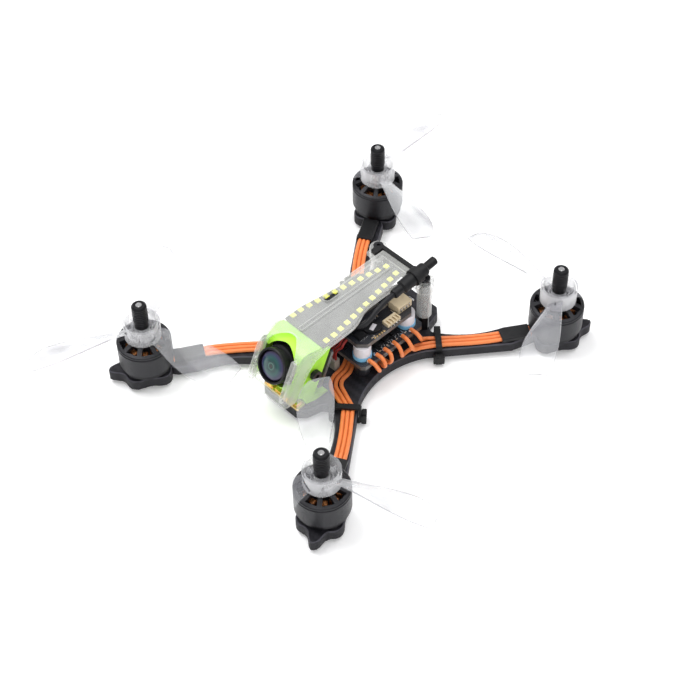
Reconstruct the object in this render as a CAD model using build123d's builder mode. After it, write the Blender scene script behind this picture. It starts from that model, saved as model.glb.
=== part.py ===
from build123d import *
import os
from math import cos, exp, radians, sin, tan

# FPV racing drone on a one-piece carbon frame.
# Millimetres. The nose points to -Y, +X is the drone's left, and Z = 0 is the underside of
# the frame plate, under the middle of the body.

# ---------------------------------------------------------------- driving dimensions
MOTOR_X, MOTOR_Y = 41.6, 53.1        # motor centres: the diagonal wheelbase is 135
MOTORS = {"fl": (1, -1), "fr": (-1, -1), "rl": (1, 1), "rr": (-1, 1)}
BLADE_TURN = {"fl": 19, "fr": 10, "rl": -61, "rr": -20}   # where each propeller stands

PLATE_T = 4.0                        # carbon frame plate
BODY_SIDE = 14.8                     # half width of the body at its waist
NOSE_X, NOSE_Y = 10.0, 32.5          # half width and reach of the nose and the tail
ARM_ROOT = (18.9, 15.3)              # where the outer edge of an arm leaves the waist curve
ARM_END = (36.5, 37.8)               # where it meets the motor pad
PAD_TURN = 13.0                      # first motor screw, then every quarter turn
BUMPER_TURN = 58.0                   # the bumper points away from the body
BOLT_R = 6.0                         # motor screws stand on this radius

BELL_R = 8.9                         # motor bell, 17.8 across
BELL_Z0, BELL_Z1 = 7.0, 15.7         # lower and upper edge of its rim
HUB_Z = 18.0                         # the propeller rests here
POST_R, POST_Z = 2.42, 31.5          # M5 post, drawn over its thread
POST_FREE = 24.2                     # its free end starts here, above the propeller
NECK_R = 2.2                         # relieved neck of the post, inside the propeller hub
PIN_R = 1.0                          # steel shaft through the post
TEETH = 9                            # stator teeth, coils and bell windows
POLES = 12                           # magnets
PROP_R = 37.2                        # blade tip radius, 3-inch class
HUB_R, HUB_H = 6.0, 6.0              # propeller hub ring

WIRE_R = 0.68                        # motor wire
WIRE_PITCH = 1.42                    # three wires lie side by side
LANE_Z = PLATE_T + WIRE_R + 0.04     # their centres on the arm

STACK_Y = 4.7                        # centre of the 20 x 20 electronics stack
STACK_PITCH = 20.0
ESC_X, ESC_Y, ESC_Z, ESC_T = 29.0, 28.0, 9.6, 1.6
FC_SIDE, FC_Z, FC_T = 25.0, 16.6, 1.6
GROMMET_R, SPACER_R, GROMMET_T = 3.15, 2.9, 1.4

PIVOT = (0, -25.3, 17.0)             # camera tilt axis, along X
CAM_TILT = 25.0                      # lens looks up by this much at rest
CAM_HALF = 6.8                       # half width of the camera case
POD_HALF, POD_R = 8.6, 10.0          # camera mount: half width, outer radius
POD_BORE = 8.6                       # its cavity about the tilt axis

SHELL_TOP, SHELL_T = 28.5, 1.1       # canopy
SHELL_FRONT = 9.2                    # its front face, this far ahead of the tilt axis
SHELL_TAIL = 21.0                    # its rear end
TAIL_HALF, WIDE_HALF, LEG_HALF = 7.3, 10.6, 9.0

BOSS = (10.6, 22.6)                  # rear standoffs and the canopy bosses over them
BOSS_TOP = 26.2
ANT_X, ANT_Z, ANT_RISE = 9.8, 30.35, 7.0   # antenna axis at the bracket, and its slope

LENS_AXIS = (0, -cos(radians(CAM_TILT)), sin(radians(CAM_TILT)))
CAM_PLANE = Plane(origin=PIVOT, x_dir=(1, 0, 0), z_dir=LENS_AXIS)
STACK_BOLTS = [(x, STACK_Y + y) for x in (-STACK_PITCH / 2, STACK_PITCH / 2)
               for y in (-STACK_PITCH / 2, STACK_PITCH / 2)]
SIDES = (-1, 1)

os.makedirs("parts", exist_ok=True)


def save(builder, name):
    """Label a finished piece and write it under its own name."""
    builder.part.label = name
    export_step(builder.part, f"parts/{name}.step")
    print(f"{name:22} {len(builder.part.solids()):3} solids {builder.part.volume:9.1f} mm3")


def motor_at(tag):
    """Motor centre, and the mirror signs of its corner."""
    sx, sy = MOTORS[tag]
    return sx * MOTOR_X, sy * MOTOR_Y, sx, sy


def bolt_spots(tag, radius=BOLT_R):
    """The four motor screws of one corner."""
    x, y, sx, sy = motor_at(tag)
    turns = [sx * sy * PAD_TURN + 90 * k for k in range(4)]
    return [(x + radius * cos(radians(a)), y + radius * sin(radians(a))) for a in turns]


# ---------------------------------------------------------------- frame plate
def pad_radius(turn):
    """Outline of a motor pad: four screw lobes and one bumper."""
    lobes = 8.1 + 1.1 * cos(radians(4 * (turn - PAD_TURN)))
    return lobes + 5.8 * exp(-((turn - BUMPER_TURN) / 15.2) ** 2)


def pad_points(tag):
    x, y, sx, sy = motor_at(tag)
    spots = []
    for turn in range(-120, 240, 9):
        r = pad_radius(turn)
        spots.append((x + sx * r * cos(radians(turn)), y + sy * r * sin(radians(turn))))
    return spots


with BuildPart() as frame_plate:
    with BuildSketch():
        with BuildLine():
            ThreePointArc((ARM_ROOT[0], -ARM_ROOT[1]), (BODY_SIDE, 0), ARM_ROOT)
            Line(ARM_ROOT, ARM_END)
            Line(ARM_END, (MOTOR_X, MOTOR_Y))
            Line((MOTOR_X, MOTOR_Y), (33.2, 47.4))
            Line((33.2, 47.4), (29.3, 41.4))
            ThreePointArc((29.3, 41.4), (22.8, 30.4), (13.9, 22.9))
            Line((13.9, 22.9), (NOSE_X + 1.4, 24.6))
            Line((NOSE_X + 1.4, 24.6), (NOSE_X, NOSE_Y - 2.5))
            Line((NOSE_X, NOSE_Y - 2.5), (NOSE_X - 2.5, NOSE_Y))
            Line((NOSE_X - 2.5, NOSE_Y), (0, NOSE_Y))
            Line((0, NOSE_Y), (0, -ARM_ROOT[1]))
            Line((0, -ARM_ROOT[1]), (ARM_ROOT[0], -ARM_ROOT[1]))
        make_face()
        mirror(about=Plane.YZ)
        mirror(about=Plane.XZ)
        for corner in MOTORS:
            with BuildLine():
                Spline(*pad_points(corner), periodic=True)
            make_face()
    extrude(amount=PLATE_T)
    upright = frame_plate.edges().filter_by(Axis.Z)
    inner = [e for e in upright if abs(e.center().Y) > 20 and abs(e.center().X) < 15]
    fillet(inner, radius=1.2)
    with Locations(*[(x, y, PLATE_T) for x, y in STACK_BOLTS]):
        Hole(radius=1.05)
    for corner in MOTORS:
        with Locations(*[(x, y, PLATE_T) for x, y in bolt_spots(corner)]):
            Hole(radius=1.05)
        with Locations((motor_at(corner)[0], motor_at(corner)[1], PLATE_T)):
            Hole(radius=2.6)
    with Locations(*[(s * BOSS[0], BOSS[1], PLATE_T) for s in SIDES]):
        Hole(radius=1.05)
    with Locations(*[(s * 7.6, -24.2, PLATE_T) for s in SIDES]):
        Hole(radius=1.05)
    with BuildSketch(Plane.XY.offset(PLATE_T)):
        with Locations(*[(s * 9.6, STACK_Y) for s in SIDES]):
            SlotOverall(12, 2.6, rotation=90)
    extrude(amount=-PLATE_T, mode=Mode.SUBTRACT)
save(frame_plate, "frame_plate")


# ---------------------------------------------------------------- motors, fixed pieces
def make_motor_base(tag):
    """Flange with four feet on the pad; its middle is open for the shaft clip."""
    x, y, sx, sy = motor_at(tag)
    with BuildPart() as motor_base:
        with BuildSketch(Plane.XY.offset(PLATE_T + 1.1)):
            with Locations((x, y)):
                Circle(8.2)
        extrude(amount=1.5)
        with BuildSketch(Plane.XY.offset(PLATE_T)):
            with Locations((x, y)):
                Circle(4.6)
            with Locations(*bolt_spots(tag)):
                Circle(2.2)
        extrude(amount=1.1)
        chamfer(motor_base.edges().group_by(Axis.Z)[-1], length=0.3)
        with Locations((x, y, PLATE_T + 2.6)):
            Hole(radius=2.55)
        with Locations(*[(a, b, PLATE_T + 2.2) for a, b in bolt_spots(tag)]):
            Hole(radius=1.0, depth=2.2)
    return motor_base


def make_motor_screws(tag):
    """Four M2 button-head screws from below."""
    with BuildPart() as motor_screws:
        with Locations(*[(a, b, -0.6) for a, b in bolt_spots(tag)]):
            Cylinder(1.8, 1.2)
        chamfer(motor_screws.edges().group_by(Axis.Z)[0], length=0.4)
        with Locations(*[(a, b, 3.05) for a, b in bolt_spots(tag)]):
            Cylinder(1.0, 6.1)
        with BuildSketch(Plane.XY.offset(-1.2)):
            with Locations(*bolt_spots(tag)):
                RegularPolygon(radius=0.75, side_count=6)
        extrude(amount=0.7, mode=Mode.SUBTRACT)
    return motor_screws


for tag in MOTORS:
    save(make_motor_base(tag), f"motor_base_{tag}")
    save(make_motor_screws(tag), f"motor_screws_{tag}")

CENTRES = [motor_at(tag)[:2] for tag in MOTORS]
CORE_Z = 10.6                        # middle height of stator and magnets

with BuildPart() as bearing_tubes:
    with BuildSketch(Plane.XY.offset(PLATE_T + 2.6)):
        with Locations(*CENTRES):
            Circle(3.0)
            Circle(2.5, mode=Mode.SUBTRACT)
    extrude(amount=6.4)
save(bearing_tubes, "bearing_tubes")

with BuildPart() as bearings:
    for low in (PLATE_T + 2.8, PLATE_T + 6.7):
        with BuildSketch(Plane.XY.offset(low)):
            with Locations(*CENTRES):
                Circle(2.5)
                Circle(PIN_R + 0.03, mode=Mode.SUBTRACT)
        extrude(amount=2.3)
save(bearings, "bearings")

with BuildPart() as stators:
    with BuildSketch(Plane.XY.offset(CORE_Z - 3)):
        with Locations(*CENTRES):
            Circle(6.85)
            Circle(6.2, mode=Mode.SUBTRACT)
            Circle(4.2)
        for cx, cy in CENTRES:
            with Locations((cx, cy)):
                with PolarLocations(5.0, TEETH):
                    Rectangle(3.4, 1.4)
                with PolarLocations(6.6, TEETH, start_angle=180 / TEETH):
                    Rectangle(1.4, 0.9, mode=Mode.SUBTRACT)
            with Locations((cx, cy)):
                Circle(3.0, mode=Mode.SUBTRACT)
    extrude(amount=6)
save(stators, "stators")


def coil_planes():
    """One upright plane per stator tooth, facing outwards."""
    for cx, cy in CENTRES:
        for k in range(TEETH):
            a = radians(360 / TEETH * k)
            yield Plane(origin=(cx + 4.3 * cos(a), cy + 4.3 * sin(a), CORE_Z),
                        x_dir=(-sin(a), cos(a), 0), z_dir=(cos(a), sin(a), 0))


with BuildPart() as windings:
    for coil in coil_planes():
        with BuildSketch(coil):
            RectangleRounded(2.7, 7.2, 0.6)
            Rectangle(1.5, 6.1, mode=Mode.SUBTRACT)
        extrude(amount=1.75)
save(windings, "windings")


# ---------------------------------------------------------------- motors, turning pieces
def make_bell(tag):
    """Rim, spoked crown, hub and post, turned from one piece."""
    x, y, sx, sy = motor_at(tag)
    inner = BELL_R - 0.9
    post = [(NECK_R, HUB_Z), (NECK_R, POST_FREE), (POST_R, POST_FREE),
            (POST_R, POST_Z - 0.45), (POST_R - 0.45, POST_Z)]
    outline = [(PIN_R, 13.95), (3.2, 13.95), (3.4, 15.6), (inner, 14.2), (inner, BELL_Z0),
               (BELL_R, BELL_Z0), (BELL_R, 14.3), (BELL_R - 0.25, 14.5), (BELL_R - 0.25, 14.8),
               (BELL_R, 15.0), (BELL_R, BELL_Z1 - 0.3), (BELL_R - 0.3, BELL_Z1), (4.3, 17.3),
               (3.9, HUB_Z)] + post + [(PIN_R, POST_Z)]
    with BuildPart() as bell:
        with BuildSketch(Plane(origin=(x, y, 0), x_dir=(1, 0, 0), z_dir=(0, -1, 0))):
            with BuildLine():
                Polyline(*outline, close=True)
            make_face()
        revolve(axis=Axis((x, y, 0), (0, 0, 1)))
        with BuildSketch(Plane.XY.offset(13.6)):
            with Locations((x, y)):
                with PolarLocations(6.0, TEETH, start_angle=10):
                    Trapezoid(3.9, 3.3, 72, rotation=90)
        extrude(amount=4.2, mode=Mode.SUBTRACT)
    return bell


def make_magnets(tag):
    """Twelve curved magnets glued inside the rim."""
    x, y, sx, sy = motor_at(tag)
    with BuildPart() as magnets:
        with BuildSketch(Plane.XY.offset(CORE_Z - 3.1)):
            with Locations((x, y)):
                Circle(BELL_R - 0.9)
                Circle(BELL_R - 1.75, mode=Mode.SUBTRACT)
                with PolarLocations(BELL_R - 1.3, POLES):
                    Rectangle(2.0, 0.5, mode=Mode.SUBTRACT)
        extrude(amount=6.2)
    return magnets


def make_shaft(tag):
    """Steel shaft with its retaining clip below the lower bearing."""
    x, y, sx, sy = motor_at(tag)
    with BuildPart() as motor_shaft:
        with BuildSketch(Plane(origin=(x, y, 0), x_dir=(1, 0, 0), z_dir=(0, -1, 0))):
            with BuildLine():
                Polyline((0, 4.6), (PIN_R - 0.2, 4.6), (PIN_R, 4.8), (PIN_R, 5.4), (1.9, 5.4),
                         (1.9, 5.9), (PIN_R, 5.9), (PIN_R, POST_Z + 0.1),
                         (PIN_R - 0.2, POST_Z + 0.3), (0, POST_Z + 0.3), close=True)
            make_face()
        revolve(axis=Axis((x, y, 0), (0, 0, 1)))
    return motor_shaft


# distance from the axis, chord, pitch angle, thickness, camber, sweep of the mid-chord line
BLADE = ((5.4, 5.6, 38, 1.3, 0.1, 0.0), (11.0, 8.0, 33, 1.15, 0.4, 0.4),
         (18.0, 11.0, 27, 1.0, 0.6, 0.8), (26.0, 12.4, 21, 0.85, 0.6, 0.8),
         (33.0, 10.8, 17, 0.7, 0.5, 0.2), (PROP_R, 6.6, 14, 0.55, 0.2, -1.0))


def make_propeller(tag):
    """Three-bladed propeller: ring hub, floor with webs, inner boss, twisted blades."""
    x, y, sx, sy = motor_at(tag)
    hand = sx * sy                   # neighbouring propellers turn opposite ways
    mid = HUB_Z + HUB_H / 2 + 0.3
    with BuildPart() as propeller:
        with BuildSketch(Plane.XY.offset(HUB_Z)):
            with Locations((x, y)):
                Circle(HUB_R)
        extrude(amount=HUB_H)
        with BuildSketch(Plane.XY.offset(HUB_Z + 1.3)):
            with Locations((x, y)):
                Circle(HUB_R - 0.8)
                Circle(3.5, mode=Mode.SUBTRACT)
        extrude(amount=HUB_H, mode=Mode.SUBTRACT)
        with BuildSketch(Plane.XY.offset(HUB_Z + HUB_H - 1.6)):
            with Locations((x, y)):
                Circle(3.6)
        extrude(amount=1.6, mode=Mode.SUBTRACT)
        with BuildSketch(Plane.XY.offset(HUB_Z + 0.6)):
            with Locations((x, y)):
                with PolarLocations(4.3, 6, start_angle=BLADE_TURN[tag]):
                    Rectangle(2.0, 0.6)
        extrude(amount=3.2)
        with BuildSketch(Plane.XY.offset(HUB_Z)):
            with Locations((x, y)):
                Circle(POST_R + 0.08)
                with PolarLocations(4.4, 6, start_angle=BLADE_TURN[tag] + 30):
                    Circle(0.6)
        extrude(amount=HUB_H, mode=Mode.SUBTRACT)
        for k in range(3):
            out = radians(BLADE_TURN[tag] + 120 * k)
            for r, chord, pitch, thick, camber, sweep in BLADE:
                along = (cos(out), sin(out), 0)
                side = (-hand * sin(out) * cos(radians(pitch)),
                        hand * cos(out) * cos(radians(pitch)), sin(radians(pitch)))
                place = Plane(origin=(x + r * cos(out) - sweep * side[0],
                                      y + r * sin(out) - sweep * side[1], mid),
                              x_dir=side, z_dir=along)
                up = hand
                half, t = chord / 2, thick / 2
                with BuildSketch(place):
                    with BuildLine():
                        ThreePointArc((-half, t / 2), (0, up * camber + t), (half, t / 2))
                        Line((half, t / 2), (half, -t / 2))
                        ThreePointArc((half, -t / 2), (0, up * camber - t), (-half, -t / 2))
                        Line((-half, -t / 2), (-half, t / 2))
                    make_face()
            loft()
    return propeller


for tag in MOTORS:
    save(make_bell(tag), f"motor_bell_{tag}")
    save(make_magnets(tag), f"magnets_{tag}")
    save(make_shaft(tag), f"motor_shaft_{tag}")
    save(make_propeller(tag), f"propeller_{tag}")


# ---------------------------------------------------------------- motor wires
def corner_radii(spots, share=0.45):
    """Largest tangent arc for every corner of a route."""
    radii = []
    for a, b, c in zip(spots, spots[1:], spots[2:]):
        into, out = Vector(*b) - Vector(*a), Vector(*c) - Vector(*b)
        turn = radians(into.get_angle(out))
        radii.append(share * min(into.length, out.length) / tan(turn / 2))
    return radii


def tube(spots, radius):
    """A round tube along straight runs joined by tangent arcs; gives back its length."""
    radii = corner_radii(spots)
    with BuildLine() as route:
        FilletPolyline(*spots, radius=radii)
    with BuildSketch(Plane(origin=spots[0], z_dir=route.line % 0)) as section:
        Circle(radius)
    sweep(sections=section.sketch, path=route.line)
    length = route.wire().length
    print(f"   wire {length:6.2f} long, tightest bend {min(radii):.2f}")
    return length


# The wires on the rear left arm, from the board outwards; the other arms mirror them.
LANE = ((20.2, 21.9), (26.0, 28.5), (31.0, 35.2), (34.6, 41.4), (37.3, 45.7))
REAR_STARTS = (((13.4, 13.4, 11.9), (16.0, 13.5, 12.0), (17.2, 14.4, 9.6),
                (16.0, 16.0, 6.8), (15.2, 18.4, 4.9)),
               ((13.4, 5.4, 11.9), (16.0, 5.3, 12.0), (17.3, 5.5, 9.3), (16.2, 6.6, 6.2),
                (15.0, 10.0, 4.9), (15.4, 14.6, 4.8)),
               ((13.4, 9.4, 11.9), (16.2, 9.3, 12.0), (17.6, 9.7, 9.4), (17.2, 11.2, 6.4),
                (17.0, 14.2, 5.0)))
FRONT_STARTS = (((13.4, -1.3, 11.9), (16.0, -1.4, 12.0), (17.2, -1.2, 9.4), (15.6, -1.3, 6.6),
                 (11.6, -2.2, 5.2), (6.0, -1.4, 4.9), (2.4, 4.7, 4.8), (5.3, 9.6, 4.8),
                 (5.9, 15.0, 4.8), (8.2, 18.2, 4.8), (17.93, 21.47, 4.8)),
                ((13.4, 2.2, 11.9), (16.0, 2.1, 12.0), (17.2, 1.8, 9.4), (15.6, 0.9, 6.6),
                 (11.8, -0.5, 5.2), (7.0, 0.0, 4.9), (4.2, 4.9, 4.8), (6.9, 9.5, 4.8),
                 (7.4, 14.3, 4.8), (9.3, 16.9, 4.8), (18.75, 20.25, 4.8)),
                ((13.4, 5.8, 11.9), (16.0, 5.7, 12.0), (17.3, 5.0, 9.6), (16.0, 3.3, 6.8),
                 (12.4, 1.2, 5.3), (8.2, 1.2, 4.9), (5.95, 5.1, 4.8), (8.5, 9.4, 4.8),
                 (8.9, 13.4, 4.8), (10.5, 15.5, 4.8), (19.57, 19.03, 4.8)))


def lane_points(offset):
    """The lane moved sideways, towards the outer edge of the arm."""
    spots = []
    for k, (x, y) in enumerate(LANE):
        before, after = LANE[max(k - 1, 0)], LANE[min(k + 1, len(LANE) - 1)]
        along = Vector(after[0] - before[0], after[1] - before[1]).normalized()
        spots.append((x + along.Y * offset, y - along.X * offset))
    return spots


def wire_routes(tag):
    """Three routes for one corner, each point mirrored into it."""
    sx, sy = MOTORS[tag]
    starts = REAR_STARTS if sy > 0 else FRONT_STARTS
    for start, offset in zip(starts, (-WIRE_PITCH, 0, WIRE_PITCH)):
        spots = list(start) + [(x, y, LANE_Z) for x, y in lane_points(offset)]
        yield [(sx * x, sy * y, z) for x, y, z in spots]


for tag in MOTORS:
    with BuildPart() as motor_wires:
        total = sum(tube(spots, WIRE_R) for spots in wire_routes(tag))
    save(motor_wires, f"motor_wires_{tag}")
    print(f"   volume over section x length {motor_wires.part.volume / total / 1.4527:.4f}")

with BuildPart() as wire_sleeves:
    for sx, sy in MOTORS.values():
        ends = [(sx * x, sy * y, PLATE_T + 0.02) for x, y in ((32.0, 36.8), (34.6, 41.4), (37.1, 45.4))]
        with BuildLine() as cover:
            FilletPolyline(*ends, radius=20)
        start = cover.line % 0
        with BuildSketch(Plane(origin=ends[0], x_dir=(-start.Y, start.X, 0), z_dir=start)):
            with Locations((0, 0.88)):
                RectangleRounded(5.4, 1.76, 0.4)
            with Locations((0, 0.73)):
                Rectangle(4.6, 1.5, mode=Mode.SUBTRACT)
        sweep(path=cover.line)
save(wire_sleeves, "wire_sleeves")

TIE = (18.5, 21.3)                   # a cable tie goes round each arm here
TIE_WIDE = 2.0
with BuildPart() as zip_ties:
    for sx, sy in MOTORS.values():
        across = (-0.743 * sx, 0.669 * sy, 0)
        along = Vector(0.669 * sx, 0.743 * sy, 0)
        place = Plane(origin=Vector(sx * TIE[0], sy * TIE[1], 0) - along * (TIE_WIDE / 2),
                      x_dir=across, z_dir=along)
        up = 1 if place.y_dir.Z > 0 else -1
        with BuildSketch(place):
            with Locations((0.05, 2.75 * up)):
                RectangleRounded(10.4, 7.3, 1.3)
                RectangleRounded(8.6, 5.56, 0.1, mode=Mode.SUBTRACT)
            with Locations((-5.8, 1.6 * up)):
                RectangleRounded(1.8, 4.2, 0.4)
        extrude(amount=TIE_WIDE)
        with BuildSketch(place.offset(-0.8)):
            with Locations((-6.0, 1.6 * up)):
                RectangleRounded(1.6, 3.4, 0.4)
        extrude(amount=TIE_WIDE + 1.6)
save(zip_ties, "zip_ties")


# ---------------------------------------------------------------- electronics stack
def board(width, depth, z, thick, cut, drilled):
    """A square board on the stack screws, with cut corners."""
    with BuildPart() as pcb:
        with BuildSketch(Plane.XY.offset(z)) as face:
            with Locations((0, STACK_Y)):
                Rectangle(width, depth)
            chamfer(face.vertices(), length=cut)
        extrude(amount=thick)
        if drilled:
            with Locations(*[(x, y, z + thick) for x, y in STACK_BOLTS]):
                Hole(radius=1.05)
    return pcb


def blocks(z, places, size, height):
    """Chips on a board: one rectangle per place, standing up from height z."""
    with BuildSketch(Plane.XY.offset(z)) as tops:
        with Locations(*places):
            Rectangle(*size)
    extrude(tops.sketch, amount=height)


save(board(ESC_X, ESC_Y, ESC_Z, ESC_T, 1.2, True), "esc_board")
save(board(FC_SIDE, FC_SIDE, FC_Z, FC_T, 2.6, False), "flight_controller")

ESC_TOP = ESC_Z + ESC_T
FC_TOP = FC_Z + FC_T
with BuildPart() as esc_parts:
    for s in SIDES:
        blocks(ESC_TOP, [(s * 9.6, y) for y in (8.6, 5.0, 1.4)], (3.2, 2.9), 0.9)
        blocks(ESC_TOP, [(s * 6.2, y) for y in (9.4, 6.2, 3.0, -0.2)], (2.4, 2.4), 0.8)
        blocks(ESC_TOP, [(s * 11.9, y) for y in (9.8, 6.6, 3.4, 0.2)], (1.0, 1.8), 0.6)
    blocks(ESC_TOP, [(0, 12.2), (0, 5.6), (0, -1.6)], (5.0, 5.0), 0.9)
    blocks(ESC_TOP, [(x, 17.0) for x in (-4.5, 4.5)], (4.4, 2.6), 0.5)
    blocks(ESC_TOP, [(x, -7.2) for x in (-4, -2, 0, 2, 4)], (1.1, 2.0), 0.6)
save(esc_parts, "esc_parts")

with BuildPart() as fc_parts:
    blocks(FC_TOP, [(0, 4.7)], (7.0, 7.0), 0.9)
    blocks(FC_TOP, [(8.0, -4.4)], (3.6, 3.2), 0.8)
    blocks(FC_TOP, [(-8.0, -4.4), (-8.4, 7.2)], (3.0, 3.4), 0.8)
    with BuildSketch(Plane.XY.offset(FC_TOP)):
        with Locations((8.9, 0.6)):
            Ellipse(2.1, 3.2, rotation=-20)
    extrude(amount=1.1)
    blocks(FC_TOP, [(4.4, -4.6), (4.4, -2.6), (4.6, 8.6), (4.4, 10.4)], (1.0, 0.6), 0.4)
    blocks(FC_TOP, [(x, -6.7) for x in (-4.8, -2.4, 0, 2.4, 4.8)], (1.4, 1.4), 0.3)
save(fc_parts, "fc_parts")

with BuildPart() as fc_connectors:   # the tall beige plug and the low pin header beside it
    with BuildSketch(Plane.XY.offset(FC_TOP)):
        with Locations((7.9, 14.0)):
            Rectangle(4.6, 6.0)
    extrude(amount=2.8)
    with BuildSketch(Plane.XY.offset(FC_TOP + 0.6)):
        with Locations(*[(10.2, 12.0 + 1.3 * k) for k in range(4)]):
            Rectangle(1.6, 0.7)
    extrude(amount=1.4, mode=Mode.SUBTRACT)
    with BuildSketch(Plane.XY.offset(FC_TOP)):
        with Locations((10.7, 7.2)):
            Rectangle(2.8, 5.6)
    extrude(amount=1.3)
    with BuildSketch(Plane.XY.offset(FC_TOP + 0.5)):
        with Locations(*[(11.2, 5.3 + 1.3 * k) for k in range(4)]):
            Rectangle(2.0, 0.7)
    extrude(amount=1.0, mode=Mode.SUBTRACT)
save(fc_connectors, "fc_connectors")

with BuildPart() as nose_leads:      # a small plug on the plate and its three leads
    with BuildSketch(Plane.XY.offset(PLATE_T)):
        with Locations((2.5, -10.9)):
            RectangleRounded(3.4, 2.2, 0.3)
    extrude(amount=4.4)
    for k in range(3):
        x, fan = 1.5 + 1.0 * k, 2.9 + 1.3 * k
        tube(((x, -10.9, 8.4), (x, -11.1, 10.6), (x + 0.2, -10.7, 12.8), (fan, -10.0, 14.8),
              (fan + 0.2, -9.4, 16.6), (fan + 0.2, -8.0, 17.3)), 0.42)
save(nose_leads, "nose_leads")

VTX_Z = 21.6
with BuildPart() as video_transmitter:
    with BuildSketch(Plane.XY.offset(VTX_Z)):
        with Locations((0, 0.5)):
            RectangleRounded(14.5, 17.0, 1.0)
    extrude(amount=1.0)
    with BuildSketch(Plane.XY.offset(FC_TOP + 0.9)):
        with Locations((0, -2.6)):
            Rectangle(6.0, 4.0)
    extrude(amount=VTX_Z - FC_TOP - 0.9)
    with BuildSketch(Plane.XY.offset(VTX_Z + 1.0)):
        with Locations((0, 2.0)):
            RectangleRounded(11.0, 10.0, 0.8)
    extrude(amount=1.8)
    with BuildSketch(Plane.XY.offset(VTX_Z + 1.0)):
        with Locations((5.2, -5.6)):
            Rectangle(3.0, 3.0)
    extrude(amount=1.2)
save(video_transmitter, "video_transmitter")

with BuildPart() as stack_spacers:
    for low, high in ((PLATE_T, ESC_Z - GROMMET_T), (ESC_TOP + GROMMET_T, FC_Z)):
        with BuildSketch(Plane.XY.offset(low)):
            with Locations(*STACK_BOLTS):
                Circle(SPACER_R if low > ESC_Z else SPACER_R - 0.3)
                Circle(1.0, mode=Mode.SUBTRACT)
        extrude(amount=high - low)
save(stack_spacers, "stack_spacers")

with BuildPart() as stack_grommets:
    for low in (ESC_Z - GROMMET_T, ESC_TOP):
        with BuildSketch(Plane.XY.offset(low)):
            with Locations(*STACK_BOLTS):
                Circle(GROMMET_R)
                Circle(1.0, mode=Mode.SUBTRACT)
        extrude(amount=GROMMET_T)
save(stack_grommets, "stack_grommets")


def screws_from_below(spots, reach):
    """Button heads under the frame plate, with shanks up into it."""
    with BuildPart() as screws:
        with Locations(*[(x, y, -0.6) for x, y in spots]):
            Cylinder(1.8, 1.2)
        chamfer(screws.edges().group_by(Axis.Z)[0], length=0.4)
        with Locations(*[(x, y, reach / 2) for x, y in spots]):
            Cylinder(1.0, reach)
        with BuildSketch(Plane.XY.offset(-1.2)):
            with Locations(*spots):
                RegularPolygon(radius=0.75, side_count=6)
        extrude(amount=0.7, mode=Mode.SUBTRACT)
    return screws


MOUNT_BOLTS = [(s * 7.6, -24.2) for s in SIDES]
BOSSES = [(s * BOSS[0], BOSS[1]) for s in SIDES]
save(screws_from_below(STACK_BOLTS, FC_Z - 0.2), "stack_screws")


# ---------------------------------------------------------------- canopy outline
TILT_S, TILT_C = sin(radians(CAM_TILT)), cos(radians(CAM_TILT))


def ahead(t, d):
    """Y and Z of a point t above the lens axis and d ahead of the tilt axis."""
    return (PIVOT[1] + TILT_S * t - TILT_C * d, PIVOT[2] + TILT_C * t + TILT_S * d)


def shoulder(inset):
    """Where the top line meets the front face, and the radius that joins them."""
    d = SHELL_FRONT - inset
    return ahead((SHELL_TOP - inset - PIVOT[2] - TILT_S * d) / TILT_C, d)


def shell_solid(inset, nose_radius, profile):
    """Side profile cut to the plan outline, the outline moved inwards by the inset."""
    tail, wide, leg = TAIL_HALF - inset, WIDE_HALF - inset, LEG_HALF - inset
    end = SHELL_TAIL - inset
    with BuildPart() as solid:
        with BuildSketch(Plane.YZ) as side:
            with BuildLine():
                Polyline(*profile, close=True)
            make_face()
            corner = side.vertices().sort_by_distance((*shoulder(inset), 0))[0]
            fillet(corner, radius=nose_radius)
        extrude(amount=14, both=True)
        with BuildSketch(Plane.XY.offset(-10)):
            with BuildLine():
                Line((0, end), (tail, end))
                Line((tail, end), (tail, 2))
                Bezier((tail, 2), (tail, -4), (wide, -5), (wide, -12))
                Line((wide, -12), (wide, -20))
                Bezier((wide, -20), (wide, -25), (leg, -26), (leg, -31))
                Line((leg, -31), (leg, -44))
                Line((leg, -44), (0, -44))
                Line((0, -44), (0, end))
            make_face()
            mirror(about=Plane.YZ)
        extrude(amount=60, mode=Mode.INTERSECT)
    return solid


def inner_profile(inset):
    """Side profile of the space under the shell, open downwards and to the rear."""
    return ((SHELL_TAIL - inset, SHELL_TOP - inset), shoulder(inset),
            ahead(-24, SHELL_FRONT - inset), (SHELL_TAIL - inset, 0))


# ---------------------------------------------------------------- camera and its mount
POD_FRONT, POD_REAR = 7.7, -4.0      # the mount reaches from here to here along the lens axis
LENS_GAP = 6.5                       # half width of its lens slot

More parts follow.
